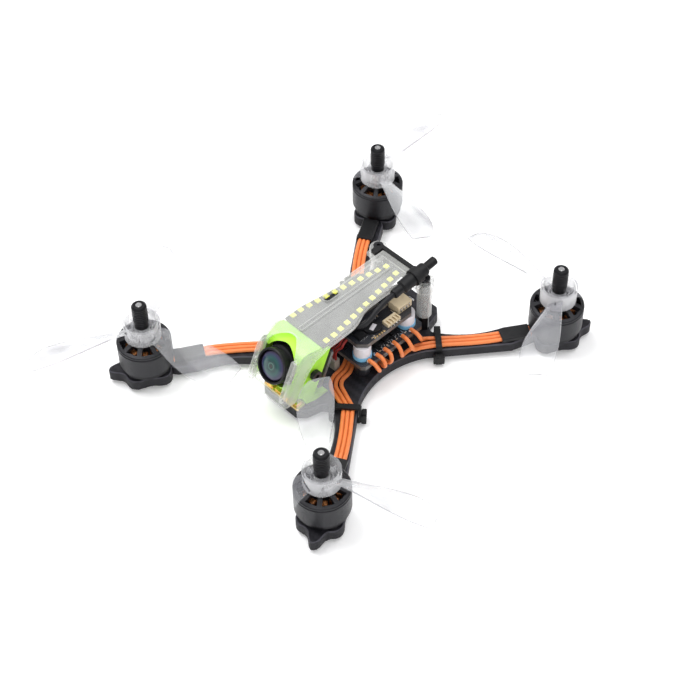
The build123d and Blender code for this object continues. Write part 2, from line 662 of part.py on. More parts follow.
with BuildPart() as camera_mount:
    with BuildSketch(Plane.YZ) as flank:
        with Locations((PIVOT[1], PIVOT[2])):
            Circle(POD_R)
        with BuildLine():
            Polyline((-28.2, PLATE_T), (-19.5, PLATE_T), (-19.5, 6.2), (-24.8, 6.6),
                     (-25.3, 12), (-31.0, 12), close=True)
        make_face()
    extrude(amount=POD_HALF, both=True)
    under = SHELL_T + 0.3
    add(shell_solid(under, 4.6, inner_profile(under)).part, mode=Mode.INTERSECT)
    with BuildSketch(CAM_PLANE.offset(POD_FRONT)):
        Rectangle(30, 40)
    extrude(amount=20, mode=Mode.SUBTRACT)
    with BuildSketch(CAM_PLANE.offset(POD_REAR)):
        with Locations((0, 3.0)):
            Rectangle(30, 24)
    extrude(amount=-20, mode=Mode.SUBTRACT)
    with BuildSketch(Plane.YZ):
        with Locations((PIVOT[1], PIVOT[2])):
            Circle(POD_BORE)
    extrude(amount=CAM_HALF + 0.3, both=True, mode=Mode.SUBTRACT)
    with BuildSketch(CAM_PLANE):
        SlotOverall(15.2, 2 * LENS_GAP, rotation=90)
    extrude(amount=12, mode=Mode.SUBTRACT)
    with BuildSketch(Plane.XY):
        with Locations((0, -25)):
            Rectangle(11.2, 16)
    extrude(amount=7.0, mode=Mode.SUBTRACT)
    with BuildSketch(Plane.XY.offset(25.0)):
        with Locations((0, -18)):
            Rectangle(20, 7.4)
    extrude(amount=5, mode=Mode.SUBTRACT)
    with BuildSketch(Plane.YZ):
        with Locations((PIVOT[1], PIVOT[2])):
            Circle(1.05)
    extrude(amount=12, both=True, mode=Mode.SUBTRACT)
    with BuildSketch(Plane.XY):
        with Locations(*MOUNT_BOLTS):
            Circle(1.0)
    extrude(amount=5.6, mode=Mode.SUBTRACT)
save(camera_mount, "camera_mount")

with BuildPart() as camera_case:
    with BuildSketch(CAM_PLANE.offset(-4.0)):
        RectangleRounded(2 * CAM_HALF, 12.8, 1.0)
    extrude(amount=8.5)
    with BuildSketch(CAM_PLANE.offset(-5.4)):
        RectangleRounded(10, 10, 0.8)
    extrude(amount=1.4)
    with BuildSketch(CAM_PLANE.offset(4.5)):
        Circle(5.9)
    extrude(amount=0.5)
    with BuildSketch(Plane.YZ):
        with Locations((PIVOT[1], PIVOT[2])):
            Circle(1.0)
    extrude(amount=10, both=True, mode=Mode.SUBTRACT)
save(camera_case, "camera_case")

BARREL = ((0, 5.0), (6.2, 5.0), (6.2, 7.3), (5.6, 7.6), (5.6, 9.2), (6.0, 9.6), (6.0, 10.8),
          (5.8, 11.0), (5.3, 11.0), (5.3, 9.6), (0, 9.6))
with BuildPart() as camera_barrel:
    with BuildSketch(Plane(origin=PIVOT, x_dir=(1, 0, 0), z_dir=-CAM_PLANE.y_dir)):
        with BuildLine():
            Polyline(*BARREL, close=True)
        make_face()
    revolve(axis=Axis(PIVOT, LENS_AXIS))
    with BuildSketch(CAM_PLANE.offset(5.2)):
        with PolarLocations(6.25, 40):
            Circle(0.18)
    extrude(amount=2.0, mode=Mode.SUBTRACT)
save(camera_barrel, "camera_barrel")

LENS = ((0, 9.6), (5.3, 9.6), (5.3, 10.0), (4.4, 10.5), (3.2, 10.85), (1.8, 11.1), (0, 11.1))
with BuildPart() as lens_glass:
    with BuildSketch(Plane(origin=PIVOT, x_dir=(1, 0, 0), z_dir=-CAM_PLANE.y_dir)):
        with BuildLine():
            Polyline(*LENS, close=True)
        make_face()
    revolve(axis=Axis(PIVOT, LENS_AXIS))
save(lens_glass, "lens_glass")

with BuildPart() as camera_board:
    with BuildSketch(CAM_PLANE.offset(-6.6)):
        RectangleRounded(17.2, 14.4, 1.0)
    extrude(amount=1.2)
    with BuildSketch(CAM_PLANE.offset(-8.4)):
        with Locations((0, -4.4)):
            Rectangle(7.0, 3.6)
        with Locations((-4.4, 3.2), (0, 3.2), (4.4, 3.2)):
            Rectangle(2.6, 2.6)
    extrude(amount=1.8)
save(camera_board, "camera_board")

with BuildPart() as camera_screws:
    for s in SIDES:
        with BuildSketch(Plane.YZ.offset(s * 4.0)):
            with Locations((PIVOT[1], PIVOT[2])):
                Circle(1.0)
        extrude(amount=s * (POD_HALF - 3.7))
        with BuildSketch(Plane.YZ.offset(s * (POD_HALF + 0.3))):
            with Locations((PIVOT[1], PIVOT[2])):
                Circle(1.9)
        extrude(amount=s * 1.4)
        with BuildSketch(Plane.YZ.offset(s * (POD_HALF + 1.0))):
            with Locations((PIVOT[1], PIVOT[2])):
                RegularPolygon(radius=0.8, side_count=6)
        extrude(amount=s, mode=Mode.SUBTRACT)
save(camera_screws, "camera_screws")


# ---------------------------------------------------------------- canopy
OPEN_R, OPEN_T, CHIN_T = 6.5, 3.9, -8.8   # lens opening: radius, its centre, and its lower end
CHEEK_X, CHEEK_OUT = 7.4, 1.4        # raised cheeks beside the lens: middle, and how far they stand out
BOSS_LOW, BOSS_CAP = 10.5, 22.0      # each boss starts here and widens into its cap here
EAR_Z = 25.2                         # underside of the ears that carry the bosses
OUTSIDE = ((SHELL_TAIL, SHELL_TOP), shoulder(0), ahead(-11.3, SHELL_FRONT), (-33.2, 10.2),
           (-27.0, 21.4), (-25.0, 24.0), (-21.0, 26.3), (-11.0, 26.6), (SHELL_TAIL, 26.7))

with BuildPart() as canopy:
    add(shell_solid(0, 6.0, OUTSIDE).part)
    rim = canopy.edges().group_by(Axis.Z)[-1]
    fillet([e for e in rim if e.length > 3 and abs(e.center().X) > 1], radius=0.9)
    add(shell_solid(SHELL_T, 4.9, inner_profile(SHELL_T)).part, mode=Mode.SUBTRACT)
    with BuildSketch(CAM_PLANE.offset(4)):
        with Locations((0, OPEN_T)):
            Circle(OPEN_R)
        with Locations((0, (OPEN_T + CHIN_T) / 2)):
            Rectangle(2 * OPEN_R, OPEN_T - CHIN_T)
    extrude(amount=14, mode=Mode.SUBTRACT)
    with BuildSketch(CAM_PLANE.offset(SHELL_FRONT - 0.3)):
        with Locations(*[(s * CHEEK_X, -1.6) for s in SIDES]):
            SlotOverall(15.6, 1.8, rotation=90)
    extrude(amount=0.3 + CHEEK_OUT)
    with BuildSketch(CAM_PLANE.offset(SHELL_FRONT + CHEEK_OUT)):
        with Locations(*[(s * CHEEK_X, t) for s in SIDES for t in (2.3, -4.8)]):
            SlotOverall(6.4, 1.0, rotation=90)
    extrude(amount=-CHEEK_OUT - SHELL_T - 0.05, mode=Mode.SUBTRACT)
    with BuildSketch(Plane.XY.offset(SHELL_TOP - 0.2)):
        with Locations((0, -2.5)):
            SlotOverall(41, 2.2, rotation=90)
        with Locations((-4.0, -5.3)):
            SlotOverall(7.0, 3.6, rotation=90)
    extrude(amount=0.6)
    with BuildSketch(Plane.XY.offset(SHELL_TOP + 0.1)):
        with Locations((0, -2.5)):
            SlotOverall(39.8, 1.0, rotation=90)
    extrude(amount=1, mode=Mode.SUBTRACT)
    with BuildSketch(Plane.XY.offset(SHELL_TOP - 3)):
        with Locations((-4.0, -5.3)):
            SlotOverall(6.0, 2.6, rotation=90)
    extrude(amount=5, mode=Mode.SUBTRACT)
    for low, radius in ((BOSS_LOW, 2.5), (BOSS_CAP, 3.0)):
        with BuildSketch(Plane.XY.offset(low)):
            with Locations(*BOSSES):
                Circle(radius)
        extrude(amount=BOSS_TOP - low)
    with BuildSketch(Plane.XY.offset(EAR_Z)):
        for s in SIDES:
            with Locations((s * 9.1, 19.2)):
                Rectangle(4.6, 2.6)
    extrude(amount=1.5)
    with BuildSketch(Plane.XY.offset(EAR_Z)):
        for s in SIDES:
            with Locations((s * (TAIL_HALF - 0.55), 19.2)):
                Rectangle(1.1, 2.6)
    extrude(amount=2.4)
    for radius, top in ((2.0, BOSS_TOP - 1.6), (1.05, BOSS_TOP + 1)):
        with BuildSketch(Plane.XY.offset(BOSS_LOW)):
            with Locations(*BOSSES):
                Circle(radius)
        extrude(amount=top - BOSS_LOW, mode=Mode.SUBTRACT)
save(canopy, "canopy")

LED_Z = 25.6
LED_ROW = [(-18.6 + 3.3 * k, 7.6 - 0.42 * max(k - 1, 0) - 0.012 * max(k - 1, 0) ** 2)
           for k in range(12)]
with BuildPart() as led_board:
    with BuildSketch(Plane.XY.offset(LED_Z)):
        with BuildLine():
            Polyline((8.7, -21.0), (8.7, -13.5), (5.9, 5.0), (3.7, 19.4), (-3.7, 19.4),
                     (-5.9, 5.0), (-8.7, -13.5), (-8.7, -21.0), close=True)
        make_face()
    extrude(amount=0.8)
save(led_board, "led_board")

with BuildPart() as leds:
    with BuildSketch(Plane.XY.offset(LED_Z + 0.8)):
        with Locations(*[(s * x, y) for y, x in LED_ROW for s in SIDES]):
            Rectangle(1.6, 1.6)
    extrude(amount=0.5)
save(leds, "leds")


# ---------------------------------------------------------------- rear bracket, antenna
BACK = SHELL_TAIL + 0.1
RISE = Vector(0, cos(radians(ANT_RISE)), sin(radians(ANT_RISE)))
AT_RING = Vector(ANT_X, BACK + 0.9, ANT_Z)
RING_LONG = 3.0
RING = Plane(origin=AT_RING - RISE * 3.0, x_dir=(1, 0, 0), z_dir=RISE)

with BuildPart() as rear_bracket:
    with BuildSketch(Plane(origin=(0, BACK, 0), x_dir=(-1, 0, 0), z_dir=(0, 1, 0))):
        with Locations((0, 25.4)):
            RectangleRounded(14.0, 6.8, 1.2)
    extrude(amount=1.6)
    with BuildSketch(Plane.XY.offset(27.4)):
        for s in SIDES:
            with Locations((s * 7.3, BACK + 0.9)):
                Rectangle(2.6, 1.4)
            with Locations((s * 8.1, BACK - 0.7)):
                Rectangle(1.0, 4.6)
    extrude(amount=1.3)
    with BuildSketch(Plane.XY.offset(27.0)):
        with Locations((-8.7, 19.5)):
            Rectangle(2.2, 2.2)
    extrude(amount=1.7)
    with BuildSketch(RING.offset(-RING_LONG / 2)):
        Circle(2.9)
    extrude(amount=RING_LONG)
    with BuildSketch(RING.offset(-2 * RING_LONG)):
        Circle(2.42)
    extrude(amount=4 * RING_LONG, mode=Mode.SUBTRACT)
save(rear_bracket, "rear_bracket")

with BuildPart() as rear_standoffs:
    with BuildSketch(Plane.XY.offset(PLATE_T)):
        with Locations(*BOSSES):
            RegularPolygon(radius=1.9, side_count=6)
            Circle(1.0, mode=Mode.SUBTRACT)
    extrude(amount=BOSS_TOP - 1.6 - PLATE_T)
save(rear_standoffs, "rear_standoffs")

with BuildPart() as body_screws:
    add(screws_from_below(MOUNT_BOLTS + BOSSES, 5.6).part)
    with Locations(*[(x, y, BOSS_TOP + 0.5) for x, y in BOSSES]):
        Cylinder(1.7, 1.0)
    with Locations(*[(x, y, BOSS_TOP - 3.5) for x, y in BOSSES]):
        Cylinder(1.0, 7.0)
    with BuildSketch(Plane.XY.offset(BOSS_TOP + 1.0)):
        with Locations(*BOSSES):
            RegularPolygon(radius=0.75, side_count=6)
    extrude(amount=-0.6, mode=Mode.SUBTRACT)
save(body_screws, "body_screws")

ANTENNA = ((0, -13.2), (1.45, -13.2), (1.6, -12.8), (1.6, -9.8), (2.3, -9.3), (2.3, 0.8),
           (2.0, 1.3), (1.5, 1.5), (1.5, 5.6), (1.3, 5.8), (0, 5.8))
with BuildPart() as antenna:
    with BuildSketch(Plane(origin=AT_RING, x_dir=(1, 0, 0), z_dir=RISE.cross(Vector(1, 0, 0)) * -1)):
        with BuildLine():
            Polyline(*ANTENNA, close=True)
        make_face()
    revolve(axis=Axis(AT_RING, RISE))
save(antenna, "antenna")

COAX_END = AT_RING + RISE * ANTENNA[0][1]
COAX = ((6.7, -5.6, 23.5), (8.4, -5.5, 23.5), (9.7, -4.0, 24.2), (10.1, -1.3, 25.7),
        (10.0, 1.4, 27.2), tuple(COAX_END + RISE * -3.6), tuple(COAX_END))
with BuildPart() as antenna_coax:
    tube(COAX, 0.85)
save(antenna_coax, "antenna_coax")

with BuildPart() as nose_light:
    with BuildSketch(Plane.XY.offset(PLATE_T)):
        with Locations((0, -30.5)):
            RectangleRounded(16, 3.6, 0.5)
    extrude(amount=0.8)
    with BuildSketch(Plane.XY.offset(PLATE_T + 0.8)):
        with Locations(*[(x, -30.5) for x in (-5.6, -1.9, 1.9, 5.6)]):
            Rectangle(2.6, 2.4)
    extrude(amount=0.8)
save(nose_light, "nose_light")
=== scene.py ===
import bpy
import bmesh
import random
from math import cos, pi, radians, sin
from mathutils import Matrix, Vector


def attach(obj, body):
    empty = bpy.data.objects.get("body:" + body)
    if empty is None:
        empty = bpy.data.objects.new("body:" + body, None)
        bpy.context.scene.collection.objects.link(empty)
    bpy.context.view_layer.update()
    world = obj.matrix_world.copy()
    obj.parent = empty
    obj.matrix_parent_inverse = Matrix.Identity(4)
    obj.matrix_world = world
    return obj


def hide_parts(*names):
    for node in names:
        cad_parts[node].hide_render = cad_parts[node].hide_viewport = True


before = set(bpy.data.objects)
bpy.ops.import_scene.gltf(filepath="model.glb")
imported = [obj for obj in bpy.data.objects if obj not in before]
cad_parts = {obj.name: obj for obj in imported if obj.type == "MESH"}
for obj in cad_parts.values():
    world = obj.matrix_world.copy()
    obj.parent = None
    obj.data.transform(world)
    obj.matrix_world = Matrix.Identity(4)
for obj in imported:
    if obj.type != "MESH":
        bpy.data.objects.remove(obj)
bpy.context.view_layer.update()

MM = 0.001
MOTORS = {"fl": (1, -1), "fr": (-1, -1), "rl": (1, 1), "rr": (-1, 1)}
MX, MY = 41.6, 53.1
PIVOT = Vector((0, -25.3, 17.0))
TILT = radians(25)
AXIS = Vector((0, -cos(TILT), sin(TILT)))
random.seed(7)


# ---------------------------------------------------------------- camera
def place_camera():
    data = bpy.data.cameras.new("camera")
    data.lens, data.sensor_width = 83.45, 36
    data.clip_start, data.clip_end = 0.01, 10
    cam = bpy.data.objects.new("camera", data)
    bpy.context.collection.objects.link(cam)
    back = Vector((0.4840, -0.4623, 0.7429)).normalized()
    turn, roll = radians(46.31), radians(-0.81)
    right = Vector((cos(turn), sin(turn), 0))
    up = back.cross(right)
    r2 = right * cos(roll) + up * sin(roll)
    u2 = up * cos(roll) - right * sin(roll)
    m = Matrix((r2, u2, back)).transposed().to_4x4()
    m.translation = Vector((259.1, -248.7, 400.3)) * MM
    cam.matrix_world = m
    bpy.context.scene.camera = cam


place_camera()


# ---------------------------------------------------------------- material helpers
class Nodes:
    """Short names for building one material's node tree."""

    def __init__(self, name):
        self.mat = bpy.data.materials.new(name)
        self.mat.use_nodes = True
        self.tree = self.mat.node_tree
        self.bsdf = self.tree.nodes["Principled BSDF"]
        self.coords = self.tree.nodes.new("ShaderNodeTexCoord").outputs["Object"]

    def add(self, kind, **values):
        node = self.tree.nodes.new("ShaderNode" + kind)
        for key, value in values.items():
            setattr(node, key, value)
        return node

    def link(self, source, target):
        self.tree.links.new(source, target)

    def math(self, op, a, b=0.0, clamp=False):
        node = self.add("Math", operation=op, use_clamp=clamp)
        for socket, value in zip(node.inputs, (a, b)):
            if isinstance(value, (int, float)):
                socket.default_value = value
            else:
                self.link(value, socket)
        return node.outputs[0]

    def vector(self, op, a, b=None):
        node = self.add("VectorMath", operation=op)
        for socket, value in zip(node.inputs, (a, b)):
            if value is None:
                continue
            if isinstance(value, (tuple, Vector)):
                socket.default_value = value
            else:
                self.link(value, socket)
        return node

    def split(self, source):
        node = self.add("SeparateXYZ")
        self.link(source, node.inputs[0])
        return node.outputs

    def noise(self, scale, detail=3.0, source=None):
        node = self.add("TexNoise")
        node.inputs["Scale"].default_value = scale
        node.inputs["Detail"].default_value = detail
        self.link(source or self.coords, node.inputs["Vector"])
        return node.outputs[0]

    def remap(self, source, low, high, start=0.0, end=1.0):
        node = self.add("MapRange")
        self.link(source, node.inputs[0])
        for k, value in zip((1, 2, 3, 4), (start, end, low, high)):
            node.inputs[k].default_value = value
        return node.outputs[0]

    def mix(self, factor, a, b):
        node = self.add("Mix", data_type="RGBA")
        if isinstance(factor, (int, float)):
            node.inputs[0].default_value = factor
        else:
            self.link(factor, node.inputs[0])
        for socket, value in zip((node.inputs[6], node.inputs[7]), (a, b)):
            if isinstance(value, tuple):
                socket.default_value = (*value[:3], 1)
            else:
                self.link(value, socket)
        return node.outputs[2]

    def bump(self, height, strength, distance=0.0001):
        node = self.add("Bump")
        node.inputs["Strength"].default_value = strength
        node.inputs["Distance"].default_value = distance
        self.link(height, node.inputs["Height"])
        self.link(node.outputs[0], self.bsdf.inputs["Normal"])
        return node

    def set(self, **values):
        for key, value in values.items():
            socket = self.bsdf.inputs[key.replace("_", " ")]
            if isinstance(value, (int, float)):
                socket.default_value = value
            elif isinstance(value, tuple):
                socket.default_value = (*value[:3], 1)
            else:
                self.link(value, socket)
        return self


def shade(color, k):
    return tuple(min(1.0, c * k) for c in color)


def surface(name, color, rough, metal=0.0, vary=0.12, grain=900, bump=0.12, fine=5000, **more):
    """A moulded, painted or metal finish: mottled colour, uneven gloss and a fine grain."""
    n = Nodes(name)
    cloud = n.noise(grain)
    n.set(Base_Color=n.mix(cloud, shade(color, 1 - vary), shade(color, 1 + vary)),
          Roughness=n.remap(cloud, rough - 0.06, rough + 0.08, 0.3, 0.7), Metallic=metal, **more)
    n.bump(n.noise(fine, 2), bump, 0.00006)
    return n.mat


def around_motor(n):
    """Distance from the nearest motor axis, in metres."""
    x, y, z = n.split(n.coords)
    dx = n.math("SUBTRACT", n.math("ABSOLUTE", x), MX * MM)
    dy = n.math("SUBTRACT", n.math("ABSOLUTE", y), MY * MM)
    return n.math("SQRT", n.math("ADD", n.math("MULTIPLY", dx, dx), n.math("MULTIPLY", dy, dy))), z


def carbon():
    """Two-by-two twill on the faces, thin plies on the cut edges, pale sanded chamfer."""
    n = Nodes("carbon_plate")
    x, y, z = n.split(n.coords)
    tow = 0.00105
    u = n.math("DIVIDE", n.math("ADD", x, y), tow * 1.414)
    v = n.math("DIVIDE", n.math("SUBTRACT", y, x), tow * 1.414)
    step = n.math("ADD", n.math("FLOOR", u), n.math("FLOOR", v))
    warp = n.math("LESS_THAN", n.math("FLOORED_MODULO", step, 4), 1.5)
    across_u = n.math("PINGPONG", n.math("FRACT", u), 0.5)
    across_v = n.math("PINGPONG", n.math("FRACT", v), 0.5)
    crown = n.mix(warp, across_u, across_v)
    weave = n.mix(warp, (0.009, 0.009, 0.012), (0.019, 0.018, 0.023))
    cloud = n.noise(260, 4)
    top = n.mix(n.math("MULTIPLY", cloud, 0.30), weave, (0.036, 0.035, 0.042))
    plies = n.math("PINGPONG", n.math("DIVIDE", z, 0.00025), 1)
    edge = n.mix(plies, (0.008, 0.008, 0.010), (0.022, 0.021, 0.026))
    geo = n.add("NewGeometry")
    nz = n.math("ABSOLUTE", n.split(geo.outputs["True Normal"])[2])
    side = n.mix(n.math("GREATER_THAN", nz, 0.35), edge, (0.070, 0.068, 0.082))
    face = n.mix(n.math("GREATER_THAN", nz, 0.92), side, top)
    n.set(Base_Color=face, Roughness=n.remap(n.noise(700), 0.44, 0.62, 0.3, 0.7), Specular_IOR_Level=0.22)
    height = n.math("ADD", crown, n.math("MULTIPLY", n.noise(4000, 2), 0.35))
    n.bump(height, 0.22, 0.00012)
    return n.mat


def bell_metal():
    """Dark satin anodising with turned rings; above the hub the post is black and threaded."""
    n = Nodes("bell_metal")
    r, z = around_motor(n)
    rings = n.math("SINE", n.math("MULTIPLY", r, 2 * pi / 0.00022))
    cloud = n.noise(700)
    lines = n.math("SINE", n.math("MULTIPLY", z, 2 * pi / 0.00018))
    thread = n.math("MULTIPLY", n.math("PINGPONG", n.math("DIVIDE", z, 0.0004), 1), 2.2)
    post = n.math("GREATER_THAN", z, 0.0181)
    threaded = n.math("GREATER_THAN", z, 0.0242)
    satin = n.mix(cloud, (0.014, 0.014, 0.017), (0.026, 0.026, 0.030))
    n.set(Base_Color=n.mix(post, satin, (0.005, 0.005, 0.007)), Metallic=0.35, Specular_IOR_Level=0.3,
          Roughness=n.remap(cloud, 0.30, 0.42, 0.3, 0.7), Anisotropic=0.4)
    fine = n.math("ADD", n.math("MULTIPLY", rings, 0.25), n.math("MULTIPLY", lines, 0.25))
    n.bump(n.math("ADD", fine, n.math("MULTIPLY", thread, threaded)), 0.35, 0.00010)
    return n.mat


def copper():
    """Enamelled wire wound in layers across each stator tooth, with painted shade in the grooves between
    the turns.
    """
    n = Nodes("copper_winding")
    r, z = around_motor(n)
    turns = n.math("PINGPONG", n.math("DIVIDE", r, 0.00019), 1)
    layers = n.math("PINGPONG", n.math("DIVIDE", z, 0.00038), 1)
    turn_relief_and_painted_groove_shade = n.math("MULTIPLY", n.remap(turns, 0.25, 1), n.remap(layers, 0.6, 1))
    # painted shade: the colour darkens towards the edges of each turn and layer, in the grooves between the
    # wires
    n.set(Base_Color=n.mix(turn_relief_and_painted_groove_shade, (0.12, 0.035, 0.012), (0.80, 0.33, 0.12)), Metallic=0.75,
          Roughness=n.remap(n.noise(1500), 0.22, 0.38, 0.3, 0.7))
    n.bump(turn_relief_and_painted_groove_shade, 0.6, 0.0001)
    return n.mat


def laminate():
    n = Nodes("stator_laminate")
    z = n.split(n.coords)[2]
    sheets = n.math("PINGPONG", n.math("DIVIDE", z, 0.0001), 1)
    n.set(Base_Color=n.mix(sheets, (0.03, 0.03, 0.034), (0.09, 0.09, 0.1)), Metallic=0.5,
          Roughness=n.remap(n.noise(900), 0.35, 0.55))
    n.bump(sheets, 0.3, 0.00005)
    return n.mat


def clear_plastic(name, color, low, high, rough, haze=0.0, power=2.0):
    """See-through plastic: faint face on, and denser as it turns away."""
    n = Nodes(name)
    layer = n.add("LayerWeight")
    layer.inputs[0].default_value = 0.40
    facing = layer.outputs["Facing"]
    cloud = n.noise(160, 3)
    alpha = n.math("ADD", n.remap(n.math("POWER", facing, power), low, high),
                   n.math("MULTIPLY", cloud, haze), clamp=True)
    n.set(Base_Color=n.mix(cloud, shade(color, 0.88), shade(color, 1.08)), Alpha=alpha,
          Roughness=n.remap(n.noise(500), rough - 0.03, rough + 0.05, 0.3, 0.7), IOR=1.5)
    n.bump(n.noise(900, 2), 0.05, 0.0001)
    return n.mat


def clear_blades():
    """Clear propeller: greyish streaks of painted shade on the blades, darker cut edges of painted shade,
    whitish hub walls of painted highlight.
    """
    n = Nodes("clear_propeller")
    r = around_motor(n)[0]
    layer = n.add("LayerWeight")
    layer.inputs[0].default_value = 0.45
    facing = layer.outputs["Facing"]
    geo = n.add("NewGeometry")
    nz = n.math("ABSOLUTE", n.split(geo.outputs["True Normal"])[2])
    wall = n.math("LESS_THAN", nz, 0.55)
    blade = n.math("GREATER_THAN", r, 0.0066)
    cloud = n.remap(n.noise(75, 2), 0, 1, 0.35, 0.65)
    # painted shade: grey streaks mixed into the clear blade colour stand in for shade seen through the
    # plastic
    painted_shade_streak = n.mix(cloud, (0.80, 0.81, 0.83), (0.30, 0.30, 0.33))
    # painted shade on the blade side walls (dark grey) and painted highlight on the hub walls (whitish)
    painted_edge_shade_hub_highlight = n.mix(blade, (0.88, 0.88, 0.90), (0.30, 0.30, 0.32))
    thin = n.math("ADD", n.remap(n.math("POWER", facing, 2.0), 0.10, 0.80), n.math("MULTIPLY", cloud, 0.14))
    thick = n.math("ADD", n.math("MULTIPLY", blade, 0.42), 0.22)
    n.set(Base_Color=n.mix(wall, painted_shade_streak, painted_edge_shade_hub_highlight),
          Alpha=n.math("MAXIMUM", thin, n.math("MULTIPLY", wall, thick), True),
          Roughness=n.remap(n.noise(500), 0.05, 0.12, 0.3, 0.7), IOR=1.5, Coat_Weight=0.3)
    n.bump(n.noise(300, 2), 0.05, 0.0002)
    return n.mat


def printed(name, color, rough):
    """Printed flexible plastic with its layer lines."""
    n = Nodes(name)
    z = n.split(n.coords)[2]
    lines = n.math("PINGPONG", n.math("DIVIDE", z, 0.0001), 1)
    cloud = n.noise(600)
    n.set(Base_Color=n.mix(cloud, shade(color, 0.86), shade(color, 1.08)),
          Roughness=n.remap(cloud, rough - 0.05, rough + 0.08, 0.3, 0.7), Specular_IOR_Level=0.3)
    n.bump(n.math("ADD", lines, n.noise(3000, 2)), 0.35, 0.00006)
    return n.mat


def wire_skin(name, color):
    """Soft silicone with dust and slight blotches."""
    n = Nodes(name)
    cloud = n.noise(420, 4)
    n.set(Base_Color=n.mix(cloud, shade(color, 0.84), shade(color, 1.12)),
          Roughness=n.remap(n.noise(1200), 0.36, 0.52, 0.3, 0.7), Subsurface_Weight=0.05)
    n.bsdf.inputs["Subsurface Radius"].default_value = (0.001, 0.0004, 0.0002)
    n.bump(n.noise(2600, 2), 0.12, 0.00006)
    return n.mat


def circuit_board():
    """Near-black solder mask over faint traces, with pale cut edges."""
    n = Nodes("circuit_board")
    trace = n.add("TexBrick")
    trace.inputs["Scale"].default_value = 420
    trace.inputs["Mortar Size"].default_value = 0.03
    trace.inputs["Color1"].default_value = (0.012, 0.013, 0.018, 1)
    trace.inputs["Color2"].default_value = (0.020, 0.021, 0.028, 1)
    trace.inputs["Mortar"].default_value = (0.040, 0.042, 0.052, 1)
    n.link(n.coords, trace.inputs["Vector"])
    geo = n.add("NewGeometry")
    nz = n.math("ABSOLUTE", n.split(geo.outputs["True Normal"])[2])
    edge = n.mix(n.noise(2500), (0.050, 0.046, 0.042), (0.12, 0.11, 0.10))
    n.set(Base_Color=n.mix(n.math("GREATER_THAN", nz, 0.5), edge, trace.outputs[0]),
          Roughness=n.remap(n.noise(900), 0.28, 0.42, 0.3, 0.7), Coat_Weight=0.25)
    n.bump(trace.outputs[1], 0.15, 0.00005)
    return n.mat


def lens_painted_reflections():
    """Dark glass with painted reflections: teal to violet rings and one brighter teal ring about the lens
    axis.
    """
    n = Nodes("lens_painted_reflections")
    rel = n.vector("SUBTRACT", n.coords, PIVOT * MM).outputs[0]
    along = n.vector("DOT_PRODUCT", rel, AXIS).outputs["Value"]
    scaled = n.add("VectorMath", operation="SCALE")
    scaled.inputs[0].default_value = AXIS
    n.link(along, scaled.inputs["Scale"])
    off = n.vector("SUBTRACT", rel, scaled.outputs[0]).outputs[0]
    r = n.vector("LENGTH", off).outputs["Value"]
    ramp = n.add("ValToRGB")
    # painted reflection: the coloured and brighter rings stand in for reflections of the coating and the
    # inner lens elements
    stops = ((0.0, (0.002, 0.004, 0.004)), (0.14, (0.010, 0.035, 0.028)), (0.20, (0.045, 0.12, 0.10)),
             (0.27, (0.012, 0.040, 0.040)), (0.52, (0.018, 0.075, 0.070)), (0.72, (0.030, 0.045, 0.085)),
             (0.84, (0.045, 0.035, 0.085)), (0.93, (0.004, 0.004, 0.006)))
    el = ramp.color_ramp.elements
    el[0].position, el[0].color = stops[0][0], (*stops[0][1], 1)
    el[1].position, el[1].color = stops[-1][0], (*stops[-1][1], 1)
    for at, color in stops[1:-1]:
        e = el.new(at)
        e.color = (*color, 1)
    n.link(n.remap(r, 0, 1, 0, 5.3 * MM), ramp.inputs[0])
    n.set(Base_Color=ramp.outputs[0], Roughness=0.08, Coat_Weight=0.25, Coat_Roughness=0.02,
          Specular_IOR_Level=0.35)
    return n.mat


def plug_and_leads():
    """Cream plug on the plate, dull red leads above it."""
    n = Nodes("red_lead")
    cloud = n.noise(500, 4)
    lead = n.math("GREATER_THAN", n.split(n.coords)[2], 0.0084)
    red = n.mix(cloud, (0.26, 0.014, 0.012), (0.42, 0.026, 0.022))
    cream = n.mix(cloud, (0.34, 0.31, 0.27), (0.46, 0.43, 0.38))
    n.set(Base_Color=n.mix(lead, cream, red), Roughness=n.remap(cloud, 0.4, 0.55, 0.3, 0.7))
    n.bump(n.noise(2600, 2), 0.12, 0.00006)
    return n.mat


def two_spacers():
    """Black spacers under the lower board, white nylon ones above it."""
    n = Nodes("stack_spacer")
    cloud = n.noise(900)
    high = n.math("GREATER_THAN", n.split(n.coords)[2], 0.009)
    white = n.mix(cloud, (0.68, 0.65, 0.69), (0.78, 0.75, 0.79))
    black = n.mix(cloud, (0.012, 0.012, 0.015), (0.028, 0.028, 0.034))
    n.set(Base_Color=n.mix(high, black, white), Roughness=n.remap(cloud, 0.36, 0.5, 0.3, 0.7))
    n.bump(n.noise(4000), 0.12, 0.00006)
    return n.mat


def phosphor_painted_glow():
    n = Nodes("led_phosphor_painted_glow")
    cloud = n.noise(1800)
    n.set(Base_Color=n.mix(cloud, (0.74, 0.74, 0.08), (0.82, 0.82, 0.16)), Roughness=0.3,
          # painted glow: the yellow phosphor is given emission, so it shines by itself rather than by the
          # lamps
          Emission_Color=(0.86, 0.88, 0.12), Emission_Strength=0.35)
    n.bump(n.noise(4000), 0.1)
    return n.mat


